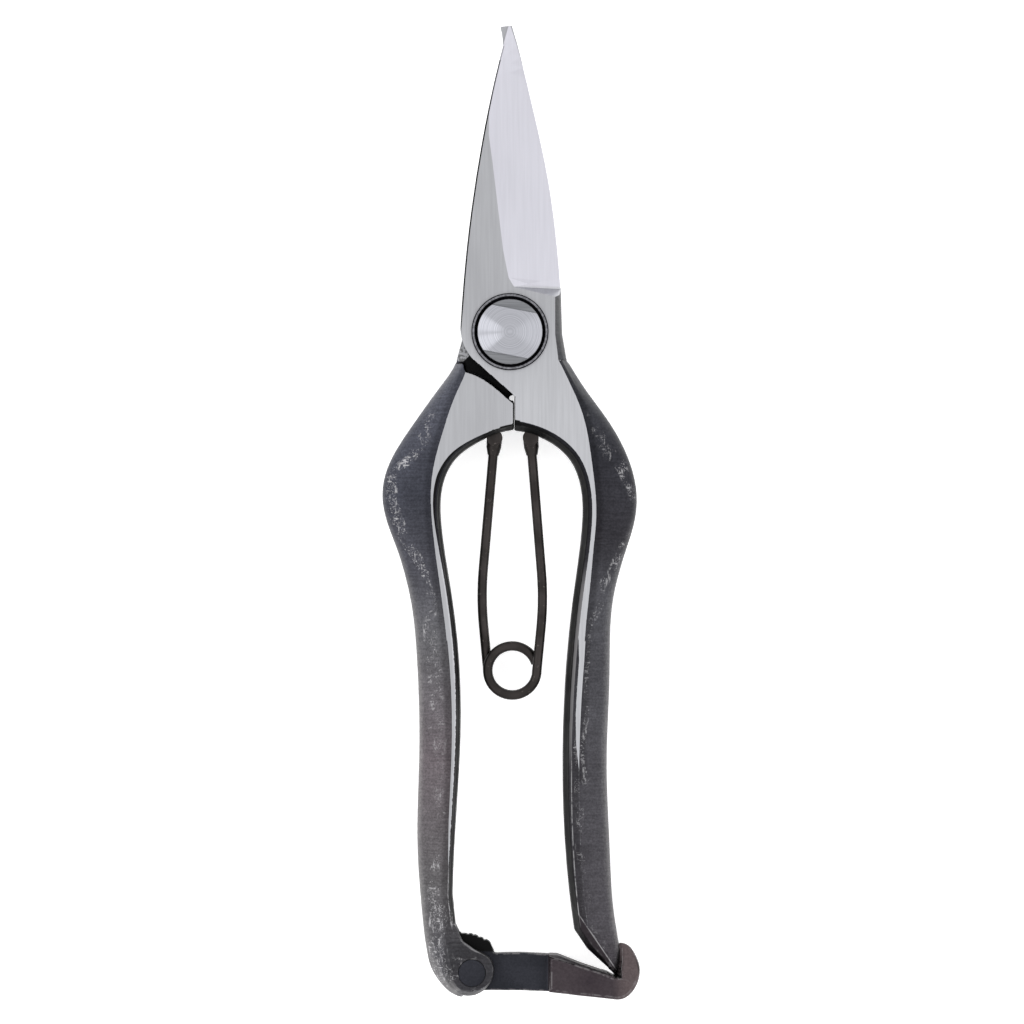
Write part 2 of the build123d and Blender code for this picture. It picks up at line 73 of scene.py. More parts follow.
# Areas seen from above, as their lower left and upper right corners in millimetres.
SHOULDER_SEAM = ((-0.6, -21.5), (2.0, -12.0))
SEAM_WALL = ((0.2, -21.5), (0.9, -12.9))
TAIL_TIP = ((18.6, -122), (22, -112.5))
HOOK_THROAT = ((17.5, -121.8), (21.2, -114.5))
THROAT_WALL = ((19.3, -121.8), (21.4, -114.6))

# Colours that several finishes share.
BARE_STEEL = (0.34, 0.335, 0.345)
# The black below is painted shade, for the handles' inner walls, the channel and the seam.
PAINTED_SHADE_BLACK = (0.009, 0.009, 0.0095)


# ---- camera, floor and light ---------------------------------------------------------------------
def make_camera():
    """Straight above the snips, with the blades up, far enough away to look flat."""
    centre = Vector((0.38 * MM, -33.9 * MM, LAP))
    view_width = 192.8 * MM
    distance = 1.3
    data = bpy.data.cameras.new("camera")
    data.sensor_width = 36
    data.lens = data.sensor_width * (distance - 3 * MM) / view_width
    data.clip_end = 10
    camera = bpy.data.objects.new("camera", data)
    camera.location = centre + Vector((0, 0, distance))
    bpy.context.scene.collection.objects.link(camera)
    bpy.context.scene.camera = camera


def make_floor():
    bpy.ops.mesh.primitive_plane_add(size=6, location=(0, 0, -0.02 * MM))
    floor = bpy.context.object
    floor.name = "floor"
    material = bpy.data.materials.new("floor")
    material.use_nodes = True
    shader = material.node_tree.nodes["Principled BSDF"]
    shader.inputs["Base Color"].default_value = (0.93, 0.93, 0.93, 1)
    shader.inputs["Roughness"].default_value = 0.9
    shader.inputs["Emission Color"].default_value = (1, 1, 1, 1)
    shader.inputs["Emission Strength"].default_value = 0.5
    floor.data.materials.append(material)


def area_light(name, place, size, radiance):
    """A soft box that faces the snips, as bright as the world is at a strength of radiance."""
    data = bpy.data.lights.new(name, "AREA")
    data.shape = "RECTANGLE"
    data.size, data.size_y = size
    data.energy = radiance * math.pi * size[0] * size[1]
    light = bpy.data.objects.new(name, data)
    light.location = place
    aim = Vector((0, -0.03, 0)) - Vector(place)
    light.rotation_euler = aim.to_track_quat("-Z", "Y").to_euler()
    bpy.context.scene.collection.objects.link(light)


def make_lights():
    """A bright tent all round, a broad box on the right and two narrower ones on the left."""
    world = bpy.data.worlds.new("studio")
    world.use_nodes = True
    world.node_tree.nodes["Background"].inputs["Color"].default_value = (1, 1, 1, 1)
    world.node_tree.nodes["Background"].inputs["Strength"].default_value = 1.25
    bpy.context.scene.world = world
    area_light("soft_box_right", (1.1, 0.1, 0.8), (1.0, 1.3), 0.6)
    area_light("soft_box_upper_left", (-1.1, 0.36, 0.8), (0.35, 0.6), 1.6)
    area_light("soft_box_lower_left", (-1.1, -0.42, 0.8), (0.35, 0.6), 1.6)
    bpy.context.scene.view_settings.view_transform = "Standard"


# ---- material helpers ----------------------------------------------------------------------------
class Nodes:
    """A short way to write a node tree."""

    def __init__(self, name):
        self.material = bpy.data.materials.new(name)
        self.material.use_nodes = True
        self.tree = self.material.node_tree
        self.shader = self.tree.nodes["Principled BSDF"]
        self.place = self.add("ShaderNodeTexCoord").outputs["Object"]
        self.x, self.y, self.z = self.split(self.place)
        geometry = self.add("ShaderNodeNewGeometry")
        self.nx, self.ny, self.nz = self.split(geometry.outputs["Normal"])
        self.up = self.math("ABSOLUTE", self.nz)

    def add(self, kind, **values):
        node = self.tree.nodes.new(kind)
        for key, value in values.items():
            setattr(node, key, value)
        return node

    def attribute(self, name):
        """A number that the surface carries, 0 where it has none."""
        return self.add("ShaderNodeAttribute", attribute_name=name).outputs["Fac"]

    def link(self, value, socket):
        if hasattr(value, "is_linked"):
            self.tree.links.new(value, socket)
        elif isinstance(value, tuple):
            socket.default_value = (*value, 1)
        else:
            socket.default_value = value

    def split(self, vector):
        node = self.add("ShaderNodeSeparateXYZ")
        self.link(vector, node.inputs[0])
        return node.outputs

    def math(self, operation, a, b=0.0):
        node = self.add("ShaderNodeMath", operation=operation)
        self.link(a, node.inputs[0])
        self.link(b, node.inputs[1])
        return node.outputs[0]

    def both(self, *masks):
        """Where every mask is set."""
        found = masks[0]
        for mask in masks[1:]:
            found = self.math("MULTIPLY", found, mask)
        return found

    def either(self, *masks):
        """Where any mask is set."""
        found = masks[0]
        for mask in masks[1:]:
            found = self.math("MAXIMUM", found, mask)
        return found

    def ramp(self, value, low, high, to_low=0.0, to_high=1.0):
        """Smooth step of value from low to high."""
        node = self.add("ShaderNodeMapRange", interpolation_type="SMOOTHSTEP")
        self.link(value, node.inputs[0])
        for socket, number in zip(node.inputs[1:5], (low, high, to_low, to_high)):
            self.link(number, socket)
        return node.outputs[0]

    def over(self, value, soft=SOFT):
        """Where value is above 0."""
        return self.ramp(value, -soft, soft)

    def close(self, distance, near, far):
        """1 where a distance of either sign is under near, down to 0 at far."""
        return self.ramp(self.math("ABSOLUTE", distance), far, near)

    def mix(self, share, a, b):
        """Blend two colours."""
        node = self.add("ShaderNodeMix", data_type="RGBA")
        for socket, value in zip((0, 6, 7), (share, a, b)):
            self.link(value, node.inputs[socket])
        return node.outputs[2]

    def blend(self, share, a, b):
        """Blend two numbers."""
        node = self.add("ShaderNodeMix", data_type="FLOAT")
        for socket, value in zip((0, 2, 3), (share, a, b)):
            self.link(value, node.inputs[socket])
        return node.outputs[0]

    def shade(self, colour, share):
        """Make a colour lighter or darker by a factor."""
        node = self.add("ShaderNodeVectorMath", operation="SCALE")
        self.link(colour, node.inputs[0])
        self.link(share, node.inputs["Scale"])
        return node.outputs[0]

    def tone(self, value, stops):
        """Three numbers, as a colour, that follow value through stops of millimetres and numbers."""
        low, high = stops[0][0], stops[-1][0]
        node = self.add("ShaderNodeValToRGB")
        share = self.math("DIVIDE", self.math("SUBTRACT", value, low * MM), (high - low) * MM)
        self.link(share, node.inputs[0])
        while len(node.color_ramp.elements) < len(stops):
            node.color_ramp.elements.new(0.5)
        for element, (place, *numbers) in zip(node.color_ramp.elements, stops):
            element.position = (place - low) / (high - low)
            element.color = (*numbers, 1)
        return node.outputs["Color"]

    def noise(self, scale, detail=3.0, stretch=(1, 1, 1), turn=0.0, rough=0.5, distortion=0.0):
        """Noise with scale blobs to the metre, stretched along the axes after a turn about Z."""
        mapping = self.add("ShaderNodeMapping")
        mapping.inputs["Rotation"].default_value = (0, 0, turn)
        mapping.inputs["Scale"].default_value = stretch
        self.link(self.place, mapping.inputs[0])
        node = self.add("ShaderNodeTexNoise")
        self.link(mapping.outputs[0], node.inputs["Vector"])
        node.inputs["Scale"].default_value = scale
        node.inputs["Detail"].default_value = detail
        node.inputs["Roughness"].default_value = rough
        node.inputs["Distortion"].default_value = distortion
        return node.outputs[0]

    def radius(self):
        """How far a point lies from the Z axis."""
        squares = self.math("ADD", self.math("POWER", self.x, 2), self.math("POWER", self.y, 2))
        return self.math("SQRT", squares)

    def painted_highlight_sector(self, angle, half_width, gain, barred):
        """A painted highlight: a factor that rises to gain in a sector about the Z axis, except where barred."""
        turn = math.radians(angle)
        radius = self.radius()
        run = self.math("ADD", self.math("MULTIPLY", self.x, math.cos(turn)),
                        self.math("MULTIPLY", self.y, math.sin(turn)))
        cosine = self.math("DIVIDE", run, self.math("MAXIMUM", radius, 0.1 * MM))
        fringe, core = (math.cos(math.radians(half_width / share)) for share in (1, 4))
        shown = self.both(self.ramp(cosine, fringe, core), self.ramp(radius, 0.8 * MM, 3 * MM),
                          self.math("SUBTRACT", 1.0, barred))
        return self.math("ADD", 1.0, self.math("MULTIPLY", shown, gain - 1))

    def bump(self, height, distance, strength=1.0):
        node = self.add("ShaderNodeBump")
        node.inputs["Strength"].default_value = strength
        node.inputs["Distance"].default_value = distance
        self.link(height, node.inputs["Height"])
        return node.outputs[0]

    def finish(self, colour, roughness, normal):
        self.link(colour, self.shader.inputs["Base Color"])
        self.link(roughness, self.shader.inputs["Roughness"])
        self.link(normal, self.shader.inputs["Normal"])
        self.shader.inputs["Metallic"].default_value = 1.0
        return self.material


# ---- materials -----------------------------------------------------------------------------------
def ground_steel(n, light, turn):
    """Colour, roughness and grain of bright steel with fine grinding lines along the snips."""
    line = n.noise(2600, detail=3, stretch=(1, 0.03, 0.3), turn=turn)
    cloud = n.noise(60, detail=3)
    colour = n.mix(n.ramp(line, 0.25, 0.75), (0.326, 0.329, 0.346), (0.362, 0.366, 0.384))
    colour = n.shade(colour, n.math("MULTIPLY", light, n.ramp(cloud, 0.3, 0.7, 0.97, 1.03)))
    return colour, n.ramp(cloud, 0.3, 0.7, 0.32, 0.38), line


def rubbed(n):
    """Bare-metal speckle and short strokes."""
    speckle = n.ramp(n.noise(3000, detail=4, rough=0.8), 0.54, 0.63)
    lengthwise = n.ramp(n.noise(1500, detail=4, stretch=(1, 0.22, 0.5), turn=0.35, rough=0.7), 0.56, 0.65)
    across = n.ramp(n.noise(1700, detail=3, stretch=(0.25, 1, 0.5), turn=-0.3), 0.60, 0.68)
    return n.either(speckle, lengthwise, across)


def beside(n, ridge):
    """How far a point lies to the right of a ridge, seen from above."""
    start, end = ridge
    along = (end - start).normalized()
    run = n.math("MULTIPLY", n.math("SUBTRACT", n.x, start.x), along.y)
    rise = n.math("MULTIPLY", n.math("SUBTRACT", n.y, start.y), along.x)
    return n.math("SUBTRACT", run, rise)


class HalfNodes(Nodes):
    """Nodes that know where a point lies on one half of the snips."""

    def __init__(self, name, side, look):
        super().__init__(name)
        self.side, self.look = side, look
        self.out = self.math("MULTIPLY", self.nx, side)
        self.across = self.math("MULTIPLY", self.x, side)
        level = self.math("ABSOLUTE", self.math("SUBTRACT", self.z, LAP))
        self.depth = self.math("SUBTRACT", PLATE, level)
        self.handle = self.ramp(self.y, NECK_Y + 0.05 * MM, NECK_Y - 0.05 * MM)
        self.ridge, self.crease, self.crest = map(self.attribute, ("ridge", "crease", "crest"))
        self.beyond = self.math("MULTIPLY", self.crease, -1)

        # The ground strip's two edges, ragged along the inside of its lower half.
        inner, outer = self.split(self.tone(self.y, look["strip"]))[:2]
        ragged = self.both(self.math("SUBTRACT", self.noise(1300, detail=5, rough=0.6), 0.5),
                           look["ragged"], self.ramp(self.y, -55 * MM, -62 * MM))
        self.strip_in = self.math("ADD", self.math("MULTIPLY", inner, CM), ragged)
        self.strip_out = self.math("MULTIPLY", outer, CM)

        self.facet = self.both(self.ramp(self.ridge, 0.02 * MM, -0.04 * MM),
                               self.ramp(self.up, 0.66, 0.74),
                               self.ramp(self.y, -42 * MM, -50 * MM), self.ramp(self.y, -84 * MM, -74 * MM))
        self.speckle = self.ramp(self.noise(1100, detail=5, rough=0.8), 0.60, 0.68)
        self.line_gap = self.ramp(self.noise(300, detail=4, rough=0.7), 0.36, 0.52)


def belt_flat(n):
    """The plane the belt left. Down to STRIP_Y its edges are the part's own, and below that the
    strip's two edges close in on each other."""
    narrow = n.ramp(n.y, STRIP_Y, STRIP_Y - 0.4 * MM)
    slack = n.math("ADD", n.blend(n.handle, 0.04 * MM, 0.32 * MM), n.math("MULTIPLY", narrow, 1 * MM))
    return n.both(n.over(n.math("SUBTRACT", n.ridge, n.strip_in)),
                  n.over(n.math("SUBTRACT", n.strip_out, n.ridge)),
                  n.either(n.over(n.crease), narrow),
                  n.over(n.math("SUBTRACT", slack, n.math("ABSOLUTE", n.depth)), SOFT / 2),
                  n.ramp(n.up, n.blend(n.handle, 0.88, 0.60), n.blend(n.handle, 0.93, 0.70)))


def ground_blade(n):
    """The blade's faces, the heel of its bevel and the bevel's end at the cutting edge."""
    bevel_end = n.both(n.ramp(n.out, 0.05, 0.1), n.ramp(n.y, HEEL_Y, HEEL_Y + 0.2 * MM))
    return n.both(n.ramp(n.y, THINNING_Y, THINNING_Y + 0.2 * MM),
                  n.either(n.ramp(n.up, 0.84, 0.88), n.ramp(n.ny, 0.2, 0.3), bevel_end))


def dressed_steel(n, lapping):
    """Colour, roughness and grain of a half's ground areas: honed on the bevel, lighter on the neck, with a
    painted highlight on the heel of the bevel, and pitted where the lapping face shows beside it."""
    light = n.ramp(n.y, 8 * MM, -12 * MM, 1.0, n.look["neck_light"])
    steel, rough, line = ground_steel(n, light, math.radians(4 * n.side))
    bevel = n.both(n.ramp(n.y, HEEL_Y, HEEL_Y + 0.5 * MM), n.ramp(n.up, 0.99, 0.975))
    honed = n.mix(n.ramp(line, 0.25, 0.75), (0.403, 0.400, 0.439), (0.427, 0.424, 0.465))
    steel = n.mix(bevel, steel, honed)
    # Painted highlight: the heel facet is made lighter.
    heel = n.both(n.ramp(n.y, THINNING_Y, THINNING_Y + 0.2 * MM), n.ramp(n.ny, 0.2, 0.3))
    steel = n.shade(steel, n.ramp(heel, 0, 1, 1, 1.4))
    pitted = n.both(lapping, n.ramp(n.y, 1 * MM, 0), n.ramp(n.noise(2300, detail=3), 0.42, 0.60))
    return n.mix(n.math("MULTIPLY", pitted, 0.8), steel, (0.08, 0.08, 0.08)), rough, line


def forge_scale(n, patch, grain):
    """Forge scale in patches, with faint file lines across the handle, and painted shading across the flank:
    painted shade beside the crease and a painted highlight over the outer edge."""
    scale = n.tone(n.y, n.look["tones"])
    # Painted shade: darker beside the crease.
    scale = n.shade(scale, n.ramp(n.beyond, 0.7 * MM, 1.7 * MM, 0.68, 1.0))
    # Painted highlight: lighter where the flank tilts out over the outer edge.
    rim = n.both(n.ramp(n.up, 0.78, 0.45), n.ramp(n.out, 0.3, 0.5),
                 n.ramp(n.y, -20 * MM, -75 * MM, 0.16, 1.0), n.look["rim"])
    scale = n.mix(rim, scale, (0.20, 0.195, 0.195))
    spine = n.both(n.ramp(n.y, 0, 1 * MM), n.ramp(n.out, -0.2, -0.3), n.ramp(n.up, 0.2, 0.3))
    scale = n.mix(spine, scale, (0.15, 0.15, 0.16))
    filed = n.noise(2600, detail=3, stretch=(0.06, 1, 0.2))
    for texture, dark, light in ((patch, 0.82, 1.2), (filed, 0.88, 1.12), (grain, 0.80, 1.30)):
        scale = n.shade(scale, n.ramp(texture, 0.3, 0.7, dark, light))
    return n.mix(n.facet, scale, (0.135, 0.132, 0.137))


def ridge_line(n):
    """The line along the ridge over the inner wall, broken here and there: partly rubbed bare, partly a painted
    highlight.
    """
    start = n.look["ridge_line"]
    return n.both(n.close(n.ridge, 0.05 * MM, 0.13 * MM), n.line_gap,
                  n.ramp(n.y, start, start - 8 * MM), n.ramp(n.y, -112.5 * MM, -111 * MM))


def rubbed_marks_and_highlights(n, on_ridge_wear_and_highlight):
    """Rubbed where the hand and the bench touch it: along a path down the flank, on the ridges and around the
    fork, but not on the rivet. The lines along the ridge over the inner wall and along the facet's far border are
    partly painted highlights."""
    centre, spread, density = n.split(n.tone(n.y, n.look["wear_path"]))
    wander = n.math("MULTIPLY", n.math("SUBTRACT", n.noise(160, detail=2), 0.5), 3 * MM)
    path = n.math("MULTIPLY", centre, CM)
    astray = n.math("ABSOLUTE", n.math("SUBTRACT", n.math("ADD", n.beyond, wander), path))
    near = n.ramp(n.math("DIVIDE", astray, n.math("MULTIPLY", spread, CM)), 1.3, 0.4)
    clump = n.ramp(n.noise(330, detail=4, rough=0.65), 0.36, 0.56)
    chance = n.both(near, density, clump, n.ramp(n.up, 0.35, 0.5))
    on_flank = n.both(rubbed(n), n.ramp(chance, 0.12, 0.62))
    # A speckled line at the facet's far border: partly rubbed wear, partly a painted highlight.
    on_facet = n.both(n.close(n.math("ADD", n.ridge, 0.7 * MM), 0.06 * MM, 0.16 * MM), n.line_gap,
                      n.facet, n.speckle)
    from_rivet = n.math("SQRT", n.math("ADD", n.math("POWER", n.math("SUBTRACT", n.x, RIVET.x), 2),
                                       n.math("POWER", n.math("SUBTRACT", n.y, RIVET.y), 2)))
    on_crest = n.both(n.ramp(n.crest, 0.35, 0.9), n.line_gap, n.ramp(n.y, -113 * MM, -116 * MM), 0.55,
                      n.ramp(from_rivet, 3.9 * MM, 4.1 * MM))
    return n.either(on_flank, on_ridge_wear_and_highlight, on_facet, on_crest)


def dark_walls(n, on_ridge_wear_and_highlight):
    """Painted shade: the walls inside the handles, the shoulder's wall in the channel and the seam between the
    shoulders go black where shade falls, and the margin between the ridge and the ground strip is painted black
    too. The seam comes again by itself."""
    arch = n.both(n.ramp(n.ny, -0.35, -0.5), n.ramp(n.y, -34 * MM, -32 * MM), n.ramp(n.out, 0.5, 0.4))
    shoulder = n.both(n.ramp(n.ny, 0.4, 0.5), n.ramp(n.y, -14 * MM, -13 * MM),
                      n.ramp(n.y, 0, -2 * MM), n.ramp(n.out, 0.5, 0.4))
    inward = n.either(n.ramp(n.out, -0.22, -0.32), arch, shoulder)
    by_seam = n.both(n.ramp(n.y, -19.5 * MM, -19 * MM), n.ramp(n.across, 10 * MM, 9 * MM))
    steep = n.either(n.ramp(n.up, 0.70, 0.64), n.both(by_seam, n.ramp(n.up, 0.96, 0.92)))
    wall = n.both(inward, steep, n.ramp(n.y, -113 * MM, -110 * MM))
    flecks = n.both(n.speckle, n.ramp(n.y, -62 * MM, -70 * MM), n.look["wall_flecks"])
    wall = n.math("SUBTRACT", wall, n.both(wall, n.either(flecks, on_ridge_wear_and_highlight), 0.6))
    # Painted shade: a dark line along the seam, where the gap between the shoulders lies in shadow.
    seam = n.both(n.ramp(n.ridge, 0.20 * MM, 0.12 * MM), n.ramp(n.y, -12 * MM, -12.4 * MM), by_seam,
                  n.close(n.x, 1.8 * MM, 2 * MM))
    margin = n.both(n.handle, n.ramp(n.ridge, 0.0, 0.03 * MM),
                    n.ramp(n.math("SUBTRACT", n.strip_in, n.ridge), 0, SOFT),
                    n.ramp(n.y, -50 * MM, -48 * MM))
    return n.either(wall, seam, margin), seam


def ground_tail(n, scale, ridge):
    """The scale with the tail's ground facet darker and a painted highlight along the facet's ridge."""
    off_ridge = beside(n, ridge)
    on_top = n.ramp(n.up, 0.5, 0.6)
    tail = n.both(n.ramp(off_ridge, 0, 0.06 * MM), on_top)
    scale = n.mix(n.math("MULTIPLY", tail, 0.6), scale, (0.028, 0.022, 0.025))
    crown_highlight = n.both(n.close(off_ridge, 0.05 * MM, 0.14 * MM), on_top,
                   n.ramp(n.y, -109 * MM, -111 * MM), n.line_gap)
    return n.mix(n.math("MULTIPLY", crown_highlight, 0.6), scale, (0.36, 0.35, 0.36))


def forged_steel(name, side, look):
    """One half: bright where it is ground, dark forge scale with rubbed crests elsewhere, and painted shade and
    painted highlights on the scale.
    """
    n = HalfNodes(name, side, look)
    lapping = n.both(n.ramp(n.depth, PLATE - 0.3 * MM, PLATE - 0.2 * MM), n.ramp(n.up, 0.9, 0.95))
    # The lapping face that the channel bares is painted black below, as shade.
    open_line = n.math("MINIMUM", n.math("SUBTRACT", 3.3 * MM, n.across), -3.9 * MM)
    channel = n.both(lapping, n.ramp(n.math("SUBTRACT", n.y, open_line), 0.1 * MM, -0.1 * MM))
    bright = n.math("SUBTRACT", n.either(belt_flat(n), ground_blade(n), lapping), channel)
    steel, steel_rough, line = dressed_steel(n, lapping)

    patch = n.noise(75, detail=5, rough=0.6, distortion=0.5)
    grain = n.noise(2400, detail=4, rough=0.7)
    on_ridge_wear_and_highlight = ridge_line(n)
    # Rubbed marks, with partly painted highlight lines along the ridges among them.
    worn = rubbed_marks_and_highlights(n, on_ridge_wear_and_highlight)
    wall, seam = dark_walls(n, on_ridge_wear_and_highlight)
    scale = forge_scale(n, patch, grain)
    scale = n.mix(n.math("MULTIPLY", worn, look["wear_light"]), scale, BARE_STEEL)
    # Painted shade: the inner walls, the seam and the bared channel go black.
    scale = n.mix(n.either(wall, channel), scale, PAINTED_SHADE_BLACK)
    if look["tail_ridge"]:
        scale = ground_tail(n, scale, look["tail_ridge"])

    bright = n.math("SUBTRACT", bright, n.both(bright, seam))
    colour = n.mix(bright, scale, steel)
    scale_rough = n.blend(worn, n.ramp(patch, 0.3, 0.7, 0.42, 0.54), 0.34)
    grit = n.bump(n.blend(bright, grain, n.math("MULTIPLY", line, 0.2)), 0.03 * MM, 0.5)
    return n.finish(colour, n.blend(bright, scale_rough, steel_rough), grit)


def turned_steel():
    """The bolt: lathe rings on its head with painted highlight sectors, and darker wrench flats."""
    n = Nodes("turned_steel")
    rings = n.add("ShaderNodeTexNoise", noise_dimensions="1D")
    n.link(n.math("MULTIPLY", n.radius(), 5200), rings.inputs["W"])
    rings.inputs["Scale"].default_value = 1.0
    rings.inputs["Detail"].default_value = 2.0
    ring = rings.outputs[0]
    across = n.noise(3000, detail=2, stretch=(0.05, 1, 0.2), turn=math.radians(11))
    low = n.ramp(n.z, HEAD_TOP - 0.2 * MM, HEAD_TOP - 0.3 * MM)
    colour = n.mix(n.ramp(ring, 0.3, 0.7), (0.315, 0.32, 0.35), (0.415, 0.42, 0.455))
    dark = n.mix(n.ramp(across, 0.3, 0.7), (0.18, 0.185, 0.197), (0.235, 0.24, 0.255))
    colour = n.mix(low, colour, dark)
    # Painted highlights: brighter sectors on the head, two on the left and a broad one on the right.
    for angle, half_width, gain in ((164, 22, 1.42), (202, 22, 1.42), (-3, 45, 1.12)):
        colour = n.shade(colour, n.painted_highlight_sector(angle, half_width, gain, low))
    tangent = n.add("ShaderNodeTangent", direction_type="RADIAL", axis="Z")
    n.link(tangent.outputs[0], n.shader.inputs["Tangent"])
    n.shader.inputs["Anisotropic"].default_value = 0.8
    n.shader.inputs["Anisotropic Rotation"].default_value = 0.25
    return n.finish(colour, n.blend(low, 0.34, 0.42), n.bump(ring, 0.01 * MM, 0.35))


def blackened_steel():
    """Collar, washer and nut: black oxide, grey on their flat faces, partly rubbed by the bench and partly a
    painted highlight.
    """
    n = Nodes("blackened_steel")
    grain = n.noise(1800, detail=4)
    land_wear_and_highlight = n.ramp(n.up, 0.97, 0.99)
    black = n.mix(n.ramp(grain, 0.4, 0.7), (0.009, 0.009, 0.012), (0.019, 0.019, 0.024))
    grey = n.mix(n.ramp(grain, 0.35, 0.7), (0.11, 0.11, 0.12), (0.23, 0.23, 0.25))
    return n.finish(n.mix(land_wear_and_highlight, black, grey), 0.38, n.bump(grain, 0.02 * MM, 0.4))


def spring_steel():
    """Oil-blackened wire, browner in patches."""
    n = Nodes("spring_steel")
    grain = n.noise(1500, detail=4)
    patch = n.noise(220, detail=3)
    colour = n.mix(n.ramp(patch, 0.35, 0.65), (0.028, 0.025, 0.024), (0.043, 0.038, 0.037))
    colour = n.mix(n.ramp(grain, 0.62, 0.75), colour, (0.095, 0.083, 0.079))
    return n.finish(colour, n.ramp(grain, 0.3, 0.7, 0.38, 0.5), n.bump(grain, 0.03 * MM, 0.5))


def latch_steel():
    """Blue-black bar and brown-black hook, rubbed along their edges, with a painted highlight towards the hook's
    tip and painted shadow in its throat.
    """
    n = Nodes("latch_steel")
    grain = n.noise(2400, detail=5, rough=0.7)
    patch = n.noise(140, detail=4)
    hook = n.ramp(n.x, HOOK_X - 0.1 * MM, HOOK_X + 0.1 * MM)
    dome_highlight = n.ramp(n.x, 19 * MM, 22 * MM)
    blue = n.mix(n.ramp(patch, 0.35, 0.65), (0.021, 0.022, 0.027), (0.030, 0.031, 0.038))
    brown = n.mix(n.ramp(patch, 0.35, 0.65), (0.036, 0.029, 0.034), (0.050, 0.041, 0.046))
    # Painted highlight: the hook lighter towards its rounded tip.
    brown = n.mix(dome_highlight, brown, (0.092, 0.073, 0.075))
    colour = n.shade(n.mix(hook, blue, brown), n.ramp(grain, 0.3, 0.75, 0.85, 1.3))

    # The thumb tab is black, and the hook's throat and the seat inside it are painted black as shadow.
    tab = n.both(n.ramp(n.y, -117.0 * MM, -116.5 * MM), n.ramp(n.x, 0, -1 * MM))
    seat = n.both(n.ramp(n.ny, 0.3, 0.5), n.ramp(n.x, 19.2 * MM, 19.6 * MM),
                  n.ramp(n.y, -117 * MM, -118 * MM))
    throat = n.both(n.either(n.ramp(n.nx, -0.4, -0.6), seat), n.ramp(n.x, 16 * MM, 17 * MM),
                    n.ramp(n.up, 0.8, 0.65))
    colour = n.mix(n.either(tab, throat), colour, (0.008, 0.008, 0.008))

    # A lighter band on the ground side of the hook's ridge, with a dark line along the ridge.
    off_ridge = beside(n, HOOK_RIDGE)
    before = n.both(hook, n.ramp(n.x, 20 * MM, 19 * MM), n.ramp(n.up, 0.3, 0.4))
    band = n.both(before, n.ramp(off_ridge, 0.05 * MM, 0.12 * MM), n.ramp(grain, 0.35, 0.6, 0.35, 1.0))
    colour = n.mix(band, colour, (0.115, 0.11, 0.115))
    dark_line = n.both(before, n.close(n.math("SUBTRACT", off_ridge, 0.02 * MM), 0.06 * MM, 0.12 * MM))
    colour = n.mix(dark_line, colour, (0.010, 0.009, 0.010))

    bar_top = n.both(n.ramp(n.x, HOOK_X, HOOK_X - 0.2 * MM), n.ramp(n.x, -3.5 * MM, -2.5 * MM),
                     n.ramp(n.ny, 0.2, 0.5), n.ramp(n.up, 0.2, 0.4))
    crest = n.ramp(n.attribute("crest"), 0.35, 0.9)
    edges = n.both(crest, n.ramp(n.noise(600, detail=4, rough=0.65), 0.40, 0.58),
                   n.math("SUBTRACT", 1.0, tab))
    worn = n.either(n.math("MULTIPLY", edges, 0.6), n.math("MULTIPLY", bar_top, 0.4))
    colour = n.mix(worn, colour, (0.20, 0.19, 0.195))
    return n.finish(colour, n.ramp(grain, 0.3, 0.7, 0.40, 0.54), n.bump(grain, 0.04 * MM, 0.5))


# ---- forged surfaces -----------------------------------------------------------------------------
def welded(node):
    """A CAD node's surface as a bmesh, with its faces joined along their edges."""
    source = frame["nodes"][node].data
    bm = bmesh.new()
    verts = [bm.verts.new(v.co) for v in source.vertices]
    for polygon in source.polygons:
        bm.faces.new([verts[i] for i in polygon.vertices])
    bmesh.ops.remove_doubles(bm, verts=bm.verts, dist=0.002 * MM)
    return bm


def cut_at(bm, y, keep_above):
    """Cut a closed bmesh across at y, keep one side and close it again."""
    bmesh.ops.bisect_plane(bm, geom=bm.verts[:] + bm.edges[:] + bm.faces[:], plane_co=(0, y, 0),
                           plane_no=(0, 1, 0), clear_inner=keep_above, clear_outer=not keep_above)
    rim = [e for e in bm.edges if e.is_boundary]
    bmesh.ops.triangle_fill(bm, edges=rim, use_beauty=True)


def as_object(name, bm):
    mesh = bpy.data.meshes.new(name)
    bm.normal_update()
    bm.to_mesh(mesh)
    bm.free()
    piece = bpy.data.objects.new(name, mesh)
    bpy.context.scene.collection.objects.link(piece)
    return piece


def resurfaced(bm, voxel, passes):
    """The same solid on an even grid, with its edges worn round."""
    piece = as_object("resurfaced", bm)
    remesh = piece.modifiers.new("remesh", "REMESH")
    remesh.mode = "VOXEL"
    remesh.voxel_size = voxel
    smooth = piece.modifiers.new("smooth", "SMOOTH")
    smooth.factor = 0.5
    smooth.iterations = passes
    bpy.context.view_layer.update()
    evaluated = piece.evaluated_get(bpy.context.evaluated_depsgraph_get())
    fresh = bmesh.new()
    fresh.from_mesh(evaluated.to_mesh())
    evaluated.to_mesh_clear()
    bpy.data.objects.remove(piece)
    return fresh


def hammered(point, size):
    """How far forging left the surface under its highest points, from 0 to 1."""
    broad = noise.noise(point / (9 * size)) * 0.5
    facet = noise.noise(point / (3 * size) + Vector((7, 3, 1))) * 0.32
    pit = noise.noise(point / (0.9 * size) + Vector((1, 9, 4))) * 0.18
    return 0.5 + 0.5 * (broad + facet + pit)


def smoothed(value, low, high):
    share = min(max((value - low) / (high - low), 0), 1)
    return share * share * (3 - 2 * share)


